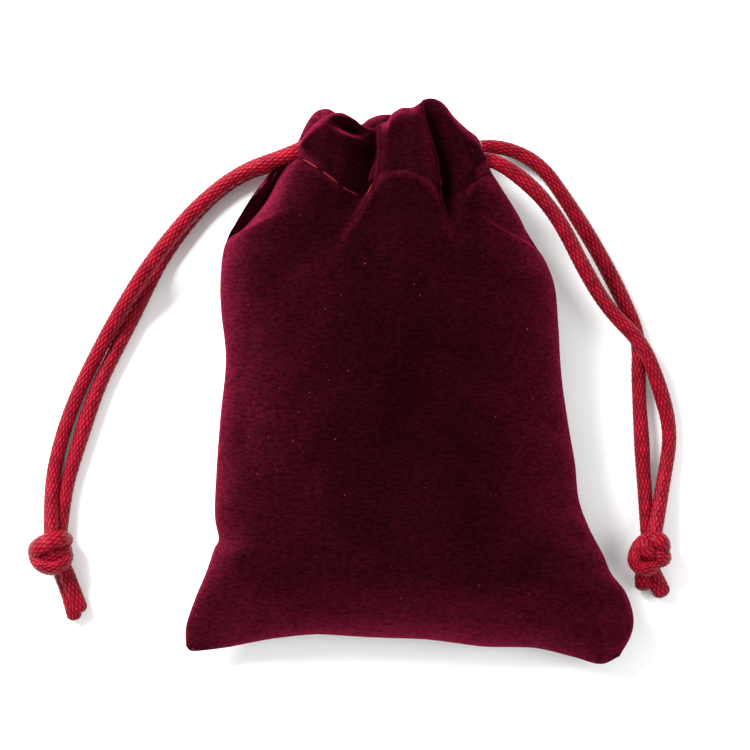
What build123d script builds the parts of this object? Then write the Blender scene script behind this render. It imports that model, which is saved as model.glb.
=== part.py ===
"""A small velvet drawstring pouch, lying on its back with the mouth gathered part way.

Two velvet panels are sewn along the sides and the bottom. Each panel's top edge is folded into a hem, and two
satin cords run through both hems, one leaving on each side, so that pulling them apart draws the mouth in.
Lengths are in millimetres. The floor is z = 0, +Y points to the mouth, +X to the right seen from above, and the
origin is on the floor under the middle of the pouch without its cords.
"""
from build123d import *
import math
import os

# Cloth and body
CLOTH = 1.4  # velvet with its pile, and the thickness of a panel's wall
SEAM_Z = 7.5  # height of the side seams, where the two panels meet
BOTTOM_Y = -43.0
NECK_Y = 30.5  # the stitch line where the hems start
TOP_Y = 43.0

# Travel of each side of the mouth and of each drawstring
DRAW_IN = 5.0
EASE_OUT = 1.5

# Gathered neck: each hem is a flat sleeve along X, in a middle stretch and two ends that slide in it
NECK_X = -2.6  # middle of the neck, a little left of the pouch's middle
HEM_THICK = 5.0  # a gathered hem, front or back; the rest of the neck's height is the mouth
MIDDLE_WALL = 0.4
END_WALL = 0.35
SLIDE_GAP = 0.25  # between a hem's middle stretch and the ends that slide in it
END_INNER = DRAW_IN + 0.3  # an end's inner edge, so that the two ends don't touch when drawn in
END_OUTER = 11.4
MIDDLE_HALF = END_INNER + EASE_OUT + 0.3  # the ends stay inside it when eased out

# Cords
CORD_D = 2.4
CORD_R = CORD_D / 2
FRONT_Z = 2 * SEAM_Z - HEM_THICK / 2  # cord height in the front hem
BACK_Z = HEM_THICK / 2
LOW_Y = 33.9  # a hem holds two cords side by side, one at each of these
HIGH_Y = 36.6
EXIT_LEFT = NECK_X - END_OUTER
EXIT_RIGHT = NECK_X + END_OUTER
TURN_RADIUS = 2.5  # of a cord from one hem into the other, close round the side of the mouth
TURN_CLEAR = 0.3  # straight cord between a hem's end and that turn

# Thread
THREAD_R = 0.18
STITCH_LENGTH = 2.2
STITCH_PITCH = 3.1
SEAM_STITCH_HEIGHT = 1.8

# Sections of the filled body from bottom to neck: y, left edge, right edge, half thickness, wall.
# The wall grows towards the neck, where the gathered cloth doubles up in pleats.
BODY = [
    (BOTTOM_Y, -33.0, 33.0, 1.9, 1.2),
    (-38.5, -34.7, 34.8, 5.0, CLOTH),
    (-31.0, -32.0, 33.4, 7.3, CLOTH),
    (-20.0, -29.4, 28.2, 8.1, CLOTH),
    (-5.0, -28.8, 24.6, 8.1, CLOTH),
    (10.0, -28.6, 23.4, 8.1, CLOTH),
    (19.0, -27.6, 20.8, 8.0, 2.0),
    (26.0, -23.4, 16.4, 7.8, 3.2),
    (NECK_Y, -17.6, 12.4, 7.5, 4.1),
]
INSIDE_START = 1.3  # cloth thickness at the bottom seam, along Y
FLOOR_WALL = 0.8  # cloth left under the inside, where the pouch rests on its back
PAST = 3.0  # how far a cutter runs past what it cuts

# Routes of the free cord strands, from the hem's end to the knot. The last point is inside the knot.
LEFT_KNOT = (-55.5, -26.2, 3.1)
RIGHT_KNOT = (37.7, -26.5, 3.1)
ROUTES = {
    "left_cord_front_strand": [
        (EXIT_LEFT, HIGH_Y, FRONT_Z),
        (-20.6, HIGH_Y, FRONT_Z),
        (-27.9, 32.0, 11.4),
        (-34.4, 26.4, 9.0),
        (-40.0, 19.3, 7.2),
        (-44.9, 11.6, 3.4),
        (-49.5, 2.8, CORD_R),
        (-53.5, -6.3, CORD_R),
        (-55.8, -15.8, 1.6),
        (-55.9, -24.0, 4.2),
    ],
    "left_cord_back_strand": [
        (EXIT_LEFT, LOW_Y, BACK_Z),
        (-20.4, LOW_Y, BACK_Z),
        (-27.4, 30.2, 1.5),
        (-33.4, 24.6, CORD_R),
        (-38.3, 17.8, CORD_R),
        (-42.6, 9.9, CORD_R),
        (-46.6, 1.4, CORD_R),
        (-50.3, -7.4, CORD_R),
        (-53.0, -16.2, CORD_R),
        (-54.2, -23.8, 1.9),
    ],
    "right_cord_front_strand": [
        (EXIT_RIGHT, LOW_Y, FRONT_Z),
        (15.6, LOW_Y, FRONT_Z),
        (21.4, 28.8, 11.0),
        (25.6, 21.6, 9.0),
        (30.2, 13.9, 7.2),
        (35.8, 7.8, 6.7),
        (39.6, 0.9, 5.2),
        (41.6, -7.4, 1.6),
        (40.6, -16.0, CORD_R),
        (38.9, -24.0, 3.9),
    ],
    "right_cord_back_strand": [
        (EXIT_RIGHT, HIGH_Y, BACK_Z),
        (16.6, HIGH_Y, BACK_Z),
        (22.9, 31.4, 1.6),
        (27.6, 23.7, CORD_R),
        (32.0, 15.9, CORD_R),
        (35.9, 7.9, CORD_R),
        (36.9, -0.9, CORD_R),
        (36.4, -9.4, CORD_R),
        (36.2, -17.0, CORD_R),
        (36.9, -23.8, 1.9),
    ],
}
KNOT_RADII = (3.5, 3.3, 3.1)
# Cut ends below each knot: where they leave the knot, and where they end
ENDS = {
    "left": [((-54.6, -28.2, 1.9), (-51.6, -35.9, CORD_R)), ((-53.4, -27.6, 4.0), (-50.7, -35.2, 3.1))],
    "right": [((37.2, -28.4, 1.9), (36.8, -32.6, CORD_R)), ((39.0, -28.4, 2.2), (40.3, -33.2, CORD_R))],
}


def section(y, left, right, low, high):
    """An ellipse across the pouch at y, between the given sides and heights."""
    plane = Plane(origin=((left + right) / 2, y, (low + high) / 2), x_dir=(1, 0, 0), z_dir=(0, 1, 0))
    return plane * Ellipse((right - left) / 2, (high - low) / 2)


def block(x, y, z):
    """A box from three (low, high) ranges."""
    size = [high - low for low, high in (x, y, z)]
    middle = [(high + low) / 2 for low, high in (x, y, z)]
    return Pos(*middle) * Box(*size)


def filled_body():
    """The outside of the two panels, resting on a flat at z = 0."""
    rounded = loft([section(y, left, right, SEAM_Z - h, SEAM_Z + h) for y, left, right, h, _ in BODY])
    return rounded & block((-60, 60), (-60, 60), (0, 40))


def inside():
    """The space for a gift, open at the neck."""
    rows = []
    for y, left, right, h, wall in BODY:
        side = (CLOTH + wall) / 2
        low = max(SEAM_Z - h + wall, FLOOR_WALL)
        y = max(y, BOTTOM_Y + INSIDE_START)
        rows.append(section(y, left + side, right - side, low, SEAM_Z + h - wall))
    top = rows[-1]
    return loft(rows) + extrude(top, amount=PAST, dir=(0, 1, 0))


def sleeve(x, y, z, wall, rounding):
    """A flat tube along X with rounded upper and lower edges at its free side."""
    outer = block(x, y, z)
    edges = outer.edges().filter_by(Axis.X).sort_by(Axis.Y)[-2:]
    outer = fillet(edges, rounding)
    hollow = block((x[0] - PAST, x[1] + PAST), (y[0] + wall, y[1] - wall), (z[0] + wall, z[1] - wall))
    inner_edges = hollow.edges().filter_by(Axis.X).sort_by(Axis.Y)[-2:]
    return outer - fillet(inner_edges, rounding - wall)


def hem_heights(side):
    """The (low, high) heights of a hem; side is "front" or "back"."""
    return (2 * SEAM_Z - HEM_THICK, 2 * SEAM_Z) if side == "front" else (0, HEM_THICK)


def hem_middle(side):
    x = (NECK_X - MIDDLE_HALF, NECK_X + MIDDLE_HALF)
    return sleeve(x, (NECK_Y, TOP_Y), hem_heights(side), MIDDLE_WALL, 2.0)


def hem_end(side, hand):
    """One end of a hem, sliding inside its middle stretch; hand is -1 on the left and 1 on the right."""
    inset = MIDDLE_WALL + SLIDE_GAP
    low, high = hem_heights(side)
    x = sorted(NECK_X + hand * reach for reach in (END_INNER, END_OUTER))
    return sleeve(x, (NECK_Y + inset, TOP_Y - inset), (low + inset, high - inset), END_WALL, 1.2)


def panel(side, shell):
    """A panel's half of the body, with the middle stretch of its hem."""
    half = (SEAM_Z, 40) if side == "front" else (-PAST, SEAM_Z)
    return (shell & block((-60, 60), (-60, 60), half)) + hem_middle(side)


def stitch_row(x_low, x_high, y, z):
    """Stitches along X, from x_low to x_high."""
    count = int((x_high - x_low) // STITCH_PITCH)
    start = (x_low + x_high - count * STITCH_PITCH) / 2 + STITCH_PITCH / 2
    turned = Rot(0, 90, 0) * Cylinder(THREAD_R, STITCH_LENGTH)
    return Compound([Pos(start + i * STITCH_PITCH, y, z) * turned for i in range(count)])


def hem_stitches(side, x_low, x_high, inset):
    """A row of stitches sunk in the pile of a hem's outer face, beside the panel."""
    low, high = hem_heights(side)
    sunk = 0.1
    z = high - inset - sunk if side == "front" else low + inset + sunk
    return stitch_row(x_low, x_high, NECK_Y + inset + 2 * THREAD_R + MIDDLE_WALL, z)


def edge_at(y, column):
    """The body's left or right edge at y, between the two sections beside it."""
    for (y0, *row0), (y1, *row1) in zip(BODY, BODY[1:]):
        if y0 <= y <= y1:
            share = (y - y0) / (y1 - y0)
            return row0[column] + share * (row1[column] - row0[column])
    raise ValueError(y)


def seam_stitch(x, y):
    """One stitch through both panels where they meet."""
    return Pos(x, y, SEAM_Z) * Cylinder(THREAD_R, SEAM_STITCH_HEIGHT)


def side_seam(column):
    """Stitches up one side, half a cloth inside the edge; column 0 is the left edge and 1 the right."""
    inward = CLOTH / 2 if column == 0 else -CLOTH / 2
    first = BOTTOM_Y + 3 * CLOTH
    count = int((NECK_Y - CLOTH - first) // STITCH_PITCH)
    rows = [first + i * STITCH_PITCH for i in range(count + 1)]
    return Compound([seam_stitch(edge_at(y, column) + inward, y) for y in rows])


def bottom_seam():
    """Stitches along the bottom edge, between the two corners."""
    _, left, right, _, _ = BODY[0]
    count = int((right - left - 4 * CLOTH) // STITCH_PITCH)
    start = (left + right - count * STITCH_PITCH) / 2
    y = BOTTOM_Y + INSIDE_START / 2
    return Compound([seam_stitch(start + i * STITCH_PITCH, y) for i in range(count + 1)])


def turn_between(run_in, run_out):
    """The angle in radians between two runs."""
    return math.radians(run_in.get_angle(run_out))


def cord_path(name, points):
    """Straight runs joined by the largest tangent arcs that they allow, with the radii printed."""
    corners = [Vector(*p) for p in points]
    runs = [b - a for a, b in zip(corners, corners[1:])]
    radii = []
    for run_in, run_out in zip(runs, runs[1:]):
        shorter = min(run_in.length, run_out.length)
        radii.append(0.45 * shorter / math.tan(turn_between(run_in, run_out) / 2))
    print(name, "radii", [round(r, 1) for r in radii])
    return FilletPolyline(*corners, radius=radii)


def tube(path):
    """A cord along a path."""
    return sweep(Plane(origin=path @ 0, z_dir=path % 0) * Circle(CORD_R), path=path)


def strand(name):
    path = cord_path(name, ROUTES[name])
    solid = tube(path)
    share = solid.volume / (math.pi * CORD_R**2 * path.length)
    print(name, "length", round(path.length, 1), "volume share", round(share, 3))
    return solid


def channel_run(exit_x, front_y, back_y, hand):
    """A cord's run through both hems and round the far side of the mouth. hand is 1 where that is the right."""
    turn_x = NECK_X + hand * (END_OUTER + TURN_CLEAR + TURN_RADIUS)
    corners = [
        (exit_x, front_y, FRONT_Z),
        (turn_x, front_y, FRONT_Z),
        (turn_x, back_y, BACK_Z),
        (exit_x, back_y, BACK_Z),
    ]
    return tube(FilletPolyline(*corners, radius=TURN_RADIUS))


def knot(centre):
    """The outer shape of an overhand knot tied in both strands together."""
    unit = Solid.make_sphere(1)
    matrix = Matrix([[KNOT_RADII[0], 0, 0, 0], [0, KNOT_RADII[1], 0, 0], [0, 0, KNOT_RADII[2], 0]])
    return Pos(*centre) * unit.transform_geometry(matrix)


def cut_ends(ends):
    """The two cut ends that leave a knot."""
    lines = [Wire([Edge.make_line(Vector(*start), Vector(*end))]) for start, end in ends]
    return Compound([tube(line) for line in lines])


def all_parts():
    """Every node by name."""
    shell = filled_body() - inside()
    exposed = MIDDLE_HALF + 0.3  # where an end of a hem shows beside its middle stretch
    end_inset = MIDDLE_WALL + SLIDE_GAP
    parts = {
        "left_seam_thread": side_seam(0),
        "right_seam_thread": side_seam(1),
        "bottom_seam_thread": bottom_seam(),
    }
    for side in ("front", "back"):
        parts[side + "_panel"] = panel(side, shell)
        parts[side + "_hem_stitches"] = hem_stitches(side, NECK_X - MIDDLE_HALF, NECK_X + MIDDLE_HALF, 0)
        for hand, word in ((-1, "left"), (1, "right")):
            parts[f"{side}_hem_{word}_end"] = hem_end(side, hand)
            low, high = sorted(NECK_X + hand * reach for reach in (exposed, END_OUTER))
            parts[f"{side}_hem_{word}_stitches"] = hem_stitches(side, low, high, end_inset)
    for name in ROUTES:
        parts[name] = strand(name)
    parts["left_cord_channel_run"] = channel_run(EXIT_LEFT, HIGH_Y, LOW_Y, 1)
    parts["right_cord_channel_run"] = channel_run(EXIT_RIGHT, LOW_Y, HIGH_Y, -1)
    parts["left_knot"] = knot(LEFT_KNOT)
    parts["right_knot"] = knot(RIGHT_KNOT)
    for word, ends in ENDS.items():
        parts[word + "_cord_cut_ends"] = cut_ends(ends)
    return parts


os.makedirs("parts", exist_ok=True)
for node, shape in all_parts().items():
    export_step(shape, f"parts/{node}.step")
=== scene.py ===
"""The looks of the drawstring pouch: velvet, satin cords, knots, stitches, light and camera.

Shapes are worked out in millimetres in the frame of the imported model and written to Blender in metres.
"""
import math

import bpy
import numpy as np
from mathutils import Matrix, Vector


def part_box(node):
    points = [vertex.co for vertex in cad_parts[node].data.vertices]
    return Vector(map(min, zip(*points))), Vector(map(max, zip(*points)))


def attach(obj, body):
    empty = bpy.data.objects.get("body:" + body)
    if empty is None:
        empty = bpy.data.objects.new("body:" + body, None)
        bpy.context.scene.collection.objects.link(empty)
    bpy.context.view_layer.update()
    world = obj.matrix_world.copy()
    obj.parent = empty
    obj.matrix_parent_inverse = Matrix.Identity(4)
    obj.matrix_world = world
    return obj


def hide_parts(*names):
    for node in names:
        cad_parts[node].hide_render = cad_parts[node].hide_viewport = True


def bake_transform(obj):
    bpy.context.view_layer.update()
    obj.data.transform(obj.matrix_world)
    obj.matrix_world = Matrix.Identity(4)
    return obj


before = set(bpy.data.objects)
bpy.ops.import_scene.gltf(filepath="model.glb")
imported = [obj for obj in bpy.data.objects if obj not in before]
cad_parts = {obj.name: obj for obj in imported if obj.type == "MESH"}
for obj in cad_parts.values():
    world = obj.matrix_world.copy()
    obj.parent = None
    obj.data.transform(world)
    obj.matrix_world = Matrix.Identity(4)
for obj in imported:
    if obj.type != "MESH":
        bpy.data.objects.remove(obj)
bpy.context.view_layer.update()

MM = 0.001


def node_box(node):
    """A CAD node's lowest and highest corners, in millimetres."""
    low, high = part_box(node)
    return np.array(low) / MM, np.array(high) / MM


# ---- facts from the frame
RUN_LOW, RUN_HIGH = node_box("left_cord_channel_run")
EXIT_LEFT = node_box("front_hem_left_end")[0][0]
EXIT_RIGHT = node_box("front_hem_right_end")[1][0]
SEAM_Z = node_box("back_panel")[1][2]

CORD_D = 2.4
CORD_R = CORD_D / 2
LOW_Y = RUN_LOW[1] + CORD_R
HIGH_Y = RUN_HIGH[1] - CORD_R
BACK_Z = RUN_LOW[2] + CORD_R
FRONT_Z = RUN_HIGH[2] - CORD_R
ON_FLOOR = CORD_R + 0.1  # middle of a cord that lies on the floor

HAND = {"left": -1, "right": 1}
FAR_SIDE = {"left": "right", "right": "left"}
FLOOR_GAP = 0.05  # the lowest that the cloth goes
HALF_WIDTH = 29.0  # of the pouch's body

# ---- numbers and curves


def smoothstep(start, end, x):
    """From 0 at start to 1 at end, with no slope at either."""
    t = np.clip((np.asarray(x, float) - start) / (end - start), 0, 1)
    return t * t * (3 - 2 * t)


def hermite(knots, values, x):
    """A smooth curve through values at knots, with no overshoot past a knot that is a peak or a dip."""
    knots = np.asarray(knots, float)
    values = np.asarray(values, float).reshape(len(knots), -1)
    step = np.diff(knots)
    slope = np.diff(values, axis=0) / step[:, None]
    tangent = np.zeros_like(values)
    same_way = slope[:-1] * slope[1:] > 0
    with np.errstate(divide="ignore", invalid="ignore"):
        mean = 2 * slope[:-1] * slope[1:] / (slope[:-1] + slope[1:])
    tangent[1:-1] = np.where(same_way, mean, 0)
    tangent[0] = slope[0]
    tangent[-1] = slope[-1]
    x = np.clip(np.asarray(x, float), knots[0], knots[-1])
    i = np.clip(np.searchsorted(knots, x, side="right") - 1, 0, len(step) - 1)
    t = ((x - knots[i]) / step[i])[..., None]
    h = step[i][..., None]
    result = (
        (2 * t**3 - 3 * t**2 + 1) * values[i]
        + (t**3 - 2 * t**2 + t) * h * tangent[i]
        + (3 * t**2 - 2 * t**3) * values[i + 1]
        + (t**3 - t**2) * h * tangent[i + 1]
    )
    return result[..., 0] if values.shape[1] == 1 else result


def table_curve(points, y):
    """The value at y of a smooth curve through (y, value) points."""
    points = np.array(sorted(points), float)
    return hermite(points[:, 0], points[:, 1], y)


def distances(line):
    """How far along a line each of its points is."""
    return np.concatenate([[0], np.cumsum(np.linalg.norm(np.diff(line, axis=0), axis=1))])


def points_at(line, along, at):
    """Points of a line at the distances at."""
    return np.stack([np.interp(at, along, line[:, k]) for k in range(line.shape[1])], axis=1)


def unit(vectors):
    """The vectors with length 1."""
    return vectors / np.linalg.norm(vectors, axis=-1)[..., None]


def catmull_rom(points, per_span):
    """A smooth curve through points."""
    ends = np.vstack([2 * points[0] - points[1], points, 2 * points[-1] - points[-2]])
    t = np.linspace(0, 1, per_span, endpoint=False)[:, None]
    spans = []
    for a, b, c, d in zip(ends, ends[1:], ends[2:], ends[3:]):
        straight = 2 * b + (c - a) * t
        bend = (2 * a - 5 * b + 4 * c - d) * t**2
        swing = (3 * b - a - 3 * c + d) * t**3
        spans.append(0.5 * (straight + bend + swing))
    return np.vstack([*spans, points[-1:]])


def outline(points, count):
    """count points at an even step along a smooth line through points."""
    dense = catmull_rom(np.array(points, float), 24)
    along = distances(dense)
    return points_at(dense, along, np.linspace(0, along[-1], count))


def ripple(x, y, wavelength, seed, waves=9):
    """Smooth random waves of height about 1, the same each run."""
    rng = np.random.default_rng(seed)
    total = np.zeros_like(x)
    for _ in range(waves):
        angle = rng.uniform(0, math.tau)
        length = wavelength * rng.uniform(0.7, 1.5)
        phase = rng.uniform(0, math.tau)
        total += np.sin((x * math.cos(angle) + y * math.sin(angle)) * math.tau / length + phase)
    return total / math.sqrt(waves)


# ---- meshes


def grid_faces(rows, columns, base=0, flip=False):
    """Quads of a grid whose vertices are numbered row by row."""
    i, j = np.meshgrid(np.arange(rows - 1), np.arange(columns - 1), indexing="ij")
    a = base + i * columns + j
    quads = np.stack([a, a + 1, a + columns + 1, a + columns], axis=-1).reshape(-1, 4)
    return quads[:, ::-1] if flip else quads


def ring_faces(rings, sides):
    """Quads of a tube whose vertices are numbered ring by ring."""
    i, j = np.meshgrid(np.arange(rings - 1), np.arange(sides), indexing="ij")
    k = (j + 1) % sides
    corners = [i * sides + j, i * sides + k, (i + 1) * sides + k, (i + 1) * sides + j]
    return np.stack(corners, axis=-1).reshape(-1, 4)


def joined(shapes):
    """Points and faces of several shapes as one."""
    points, faces, base = [], [], 0
    for shape_points, shape_faces in shapes:
        points.append(shape_points)
        faces += [tuple(k + base for k in face) for face in shape_faces]
        base += len(shape_points)
    return np.vstack(points), faces


def mesh_object(name, points, faces, normals=None):
    """A smooth mesh object from points in millimetres."""
    mesh = bpy.data.meshes.new(name)
    faces = [tuple(int(k) for k in face) for face in faces]
    mesh.from_pydata((np.asarray(points) * MM).tolist(), [], faces)
    mesh.polygons.foreach_set("use_smooth", [True] * len(mesh.polygons))
    mesh.update()
    if normals is not None:
        mesh.normals_split_custom_set_from_vertices(normals.tolist())
    thing = bpy.data.objects.new(name, mesh)
    bpy.context.scene.collection.objects.link(thing)
    return thing


def store(thing, name, values):
    """Keeps one number for each point of a mesh, for its material."""
    thing.data.attributes.new(name, "FLOAT", "POINT").data.foreach_set("value", values.astype(np.float32))


# ---- cords

# Routes of the free strands, from the hem's end to the knot, as control points of a smooth line.
STRAIGHT = 0.8  # how far each strand goes on straight out of the hem
ROUTES = {
    "left_cord_front_strand": [
        (EXIT_LEFT, HIGH_Y, FRONT_Z), (EXIT_LEFT - STRAIGHT, HIGH_Y, FRONT_Z), (-18.6, 34.8, FRONT_Z),
        (-26.2, 32.3, 11.6), (-32.8, 27.1, 8.8), (-38.6, 20.6, 6.2), (-44.0, 12.9, 3.9), (-48.0, 5.9, 2.0),
        (-51.9, -1.6, ON_FLOOR), (-54.6, -9.2, ON_FLOOR), (-56.1, -17.0, 1.6), (-55.7, -24.6, 4.0),
    ],
    "left_cord_back_strand": [
        (EXIT_LEFT, LOW_Y, BACK_Z), (EXIT_LEFT - STRAIGHT, LOW_Y, BACK_Z), (-19.0, 34.6, BACK_Z),
        (-26.0, 32.9, 1.6), (-32.5, 27.9, ON_FLOOR), (-38.0, 20.6, ON_FLOOR), (-41.4, 13.9, ON_FLOOR),
        (-45.6, 5.6, ON_FLOOR), (-49.4, -2.4, ON_FLOOR), (-52.2, -11.4, ON_FLOOR),
        (-54.2, -18.6, ON_FLOOR), (-54.7, -24.4, 1.9),
    ],
    "right_cord_front_strand": [
        (EXIT_RIGHT, LOW_Y, FRONT_Z), (EXIT_RIGHT + STRAIGHT, LOW_Y, FRONT_Z), (13.2, 34.4, FRONT_Z),
        (19.2, 30.2, 11.4), (23.6, 25.1, 8.8), (27.4, 17.9, 6.2), (31.4, 11.4, 4.3), (36.8, 6.2, 3.9),
        (39.4, 0.2, 2.4), (41.6, -7.6, 1.3), (40.6, -14.4, ON_FLOOR), (38.6, -24.2, 3.9),
    ],
    "right_cord_back_strand": [
        (EXIT_RIGHT, HIGH_Y, BACK_Z), (EXIT_RIGHT + STRAIGHT, HIGH_Y, BACK_Z), (14.8, 37.2, BACK_Z),
        (20.9, 34.5, 1.8), (25.3, 28.3, 1.3), (29.9, 20.9, ON_FLOOR), (33.6, 13.8, ON_FLOOR),
        (36.6, 7.4, ON_FLOOR), (36.4, -0.6, ON_FLOOR), (36.9, -8.4, ON_FLOOR), (37.2, -14.6, ON_FLOOR),
        (37.9, -24.2, 1.9),
    ],
}

BRAID_SIDES = 72  # mesh points round a cord
BRAID_STEP = 0.16  # between rings, in millimetres
BRAID_STRANDS = 12  # strands that run each way round the cord
BRAID_LAY = 20.0  # length in which a strand goes once round
BRAID_PLIES = 1  # bundles of satin fibre seen in one strand
BRAID_RELIEF = 0.17  # height of the braid
RELIEF_AT_RADIUS = 0.72  # the share of the relief that lies at the cord's radius
PLY_GROOVE = 0.30  # depth of the grooves between plies, as a share of the strand
END_TAPER = 0.55  # how much narrower a rounded end is at its tip
CAP_RELIEF = 0.3


def nurbs_points(name, points):
    """Points in millimetres along the smooth line that has the given control points."""
    curve = bpy.data.curves.new(name, "CURVE")
    curve.dimensions = "3D"
    curve.resolution_u = 24
    spline = curve.splines.new("NURBS")
    spline.points.add(len(points) - 1)
    for control, (x, y, z) in zip(spline.points, points):
        control.co = (x * MM, y * MM, z * MM, 1)
    spline.order_u = 3
    spline.use_endpoint_u = True
    holder = bpy.data.objects.new(name, curve)
    bpy.context.scene.collection.objects.link(holder)
    line = bpy.data.meshes.new_from_object(holder.evaluated_get(bpy.context.evaluated_depsgraph_get()))
    found = np.array([v.co for v in line.vertices]) / MM
    bpy.data.objects.remove(holder)
    bpy.data.curves.remove(curve)
    bpy.data.meshes.remove(line)
    return found


def even_points(line, step):
    """The same line with points at an even step, and how far along it they are."""
    along = distances(line)
    keep = np.concatenate([[True], np.diff(along) > 1e-9])
    line, along = line[keep], along[keep]
    at = np.linspace(0, along[-1], max(8, round(along[-1] / step) + 1))
    return points_at(line, along, at), at


def carried_frames(line):
    """Two unit vectors across the line at each point, carried along it without twist."""
    tangent = unit(np.gradient(line, axis=0))
    first = np.cross(tangent[0], (0.0, 0.0, 1.0))
    if np.linalg.norm(first) < 0.1:
        first = np.cross(tangent[0], (0.0, 1.0, 0.0))
    across = [first / np.linalg.norm(first)]
    for t in tangent[1:]:
        side = across[-1] - t * (across[-1] @ t)
        across.append(side / np.linalg.norm(side))
    across = np.array(across)
    return across, np.cross(tangent, across)


def strand_height(across, along, on_top):
    """Height of one strand of the braid in a cell that it crosses, from fractions of the way over it."""
    crown = np.sqrt(np.clip(1 - np.abs(2 * across - 1) ** 2.4, 0, 1))
    plies = 1 - PLY_GROOVE * np.abs(np.cos(BRAID_PLIES * math.pi * across)) ** 3
    rise = 0.52 + 0.48 * np.sin(math.pi * along) * np.where(on_top, 1, -1)
    return crown * plies * rise


def braid_height(angle, along, lay=BRAID_LAY):
    """Height from 0 to 1 of a round braid, where each strand goes over one strand and under the next."""
    one = (angle / math.tau + along / lay) * BRAID_STRANDS
    other = (angle / math.tau - along / lay) * BRAID_STRANDS
    on_top = (np.floor(one) + np.floor(other)) % 2 == 0
    one, other = one % 1, other % 1
    return np.maximum(strand_height(one, other, on_top), strand_height(other, one, ~on_top))


def tube_shape(
    line, radius, flat=1.0, sides=BRAID_SIDES, step=BRAID_STEP, turn=0.0, lay=BRAID_LAY, face=None,
    end_round=0.0,
):
    """Points, faces and relief of a braided tube. radius is a number, or one for each of some even stations.

    flat squashes it, away from the point face if there is one. Its end is rounded over end_round.
    """
    line, along = even_points(line, step)
    if face is None:
        across, up = carried_frames(line)
    else:
        tangent = unit(np.gradient(line, axis=0))
        across = unit(np.cross(tangent, line - np.asarray(face, float)))
        up = np.cross(across, tangent)
    angle, s = np.meshgrid(np.linspace(0, math.tau, sides, endpoint=False), along)
    relief = braid_height(angle + turn, s, lay)
    if np.ndim(radius):
        radius = hermite(np.linspace(0, along[-1], len(radius)), radius, along)[:, None]
    out = radius + BRAID_RELIEF * (relief - RELIEF_AT_RADIUS)
    if end_round:
        near_end = np.clip(1 - (along[-1] - along) / end_round, 0, 1)
        out = out * (1 - END_TAPER * near_end[:, None] ** 2.5)
    x, y = out * np.cos(angle), out * np.sin(angle) * flat
    points = line[:, None, :] + x[..., None] * across[:, None, :] + y[..., None] * up[:, None, :]
    points = np.vstack([points.reshape(-1, 3), line[:1], line[-1:]])
    first, last = len(points) - 2, len(points) - 1
    end = (len(line) - 1) * sides
    caps = [(first, (j + 1) % sides, j) for j in range(sides)]
    caps += [(last, end + j, end + (j + 1) % sides) for j in range(sides)]
    faces = [*ring_faces(len(line), sides), *caps]
    return points, faces, np.append(relief.reshape(-1), [CAP_RELIEF] * 2)


def cord_mesh(name, shapes):
    """One object from tube shapes, with the braid's relief kept for the material."""
    thing = mesh_object(name, *joined([shape[:2] for shape in shapes]))
    store(thing, "relief", np.concatenate([shape[2] for shape in shapes]))
    return thing


# ---- velvet outline

BOTTOM = [
    (-34.6, -41.2), (-33.4, -42.0), (-28.0, -41.4), (-21.0, -40.0), (-14.0, -39.3), (-6.0, -39.8),
    (3.0, -40.1), (12.0, -41.3), (20.0, -41.5), (26.0, -42.9), (30.2, -44.0), (33.2, -42.8),
]
LEFT_BODY = [
    (-34.6, -41.2), (-34.5, -38.0), (-33.0, -33.6), (-31.3, -29.6), (-30.0, -25.8), (-29.3, -24.2),
    (-29.9, -20.5), (-29.6, -13.0), (-29.0, -5.0), (-28.2, 3.5), (-28.9, 11.0), (-29.0, 16.0),
    (-28.2, 21.6),
]
LEFT_FRONT_SHOULDER = [
    (-25.4, 23.9), (-22.2, 27.6), (-20.0, 31.6), (-18.2, 34.2), (-17.2, 35.8), (-16.7, 37.0),
]
LEFT_BACK_SHOULDER = [(-26.9, 24.2), (-24.6, 28.2), (-21.9, 31.8), (-18.6, 35.2), (-17.0, 37.6)]
RIGHT_BODY = [
    (33.2, -42.8), (34.9, -39.6), (35.2, -36.4), (33.9, -32.6), (31.6, -29.6), (30.4, -26.8),
    (28.2, -22.6), (26.6, -18.2), (26.0, -12.6), (25.0, -6.8), (23.9, 1.0), (23.4, 9.0), (22.9, 14.6),
    (21.7, 18.2), (20.4, 20.4),
]
RIGHT_FRONT_SHOULDER = [(19.3, 21.4), (17.4, 25.6), (14.8, 29.6), (12.9, 32.4), (11.8, 34.6), (11.2, 36.4)]
RIGHT_BACK_SHOULDER = [(19.0, 22.6), (17.0, 25.9), (14.6, 29.6), (12.9, 32.4), (12.2, 35.2), (11.7, 37.4)]
FRONT_TOP = [
    (-16.7, 37.0), (-15.0, 39.0), (-12.6, 40.9), (-10.4, 41.4), (-8.8, 40.6), (-7.5, 39.4), (-5.9, 39.2),
    (-4.8, 39.6), (-3.2, 40.0), (-2.6, 41.0), (-1.0, 42.0), (0.7, 42.1), (2.1, 42.9), (3.8, 43.7),
    (5.4, 43.0), (7.2, 40.7), (9.1, 38.9), (10.5, 37.8), (11.2, 36.4),
]
BACK_TOP = [
    (-17.0, 37.6), (-16.5, 39.3), (-15.4, 41.4), (-14.2, 42.7), (-12.5, 43.0), (-11.1, 42.3), (-9.6, 40.8),
    (-7.5, 40.4), (-5.7, 41.6), (-3.0, 42.2), (3.0, 41.6), (7.6, 40.2), (11.0, 38.7), (11.8, 37.6),
]

COLUMNS = 210
BODY_ROWS = 270
FOLD_ROWS = 15
HEM_ROWS = 26

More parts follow.
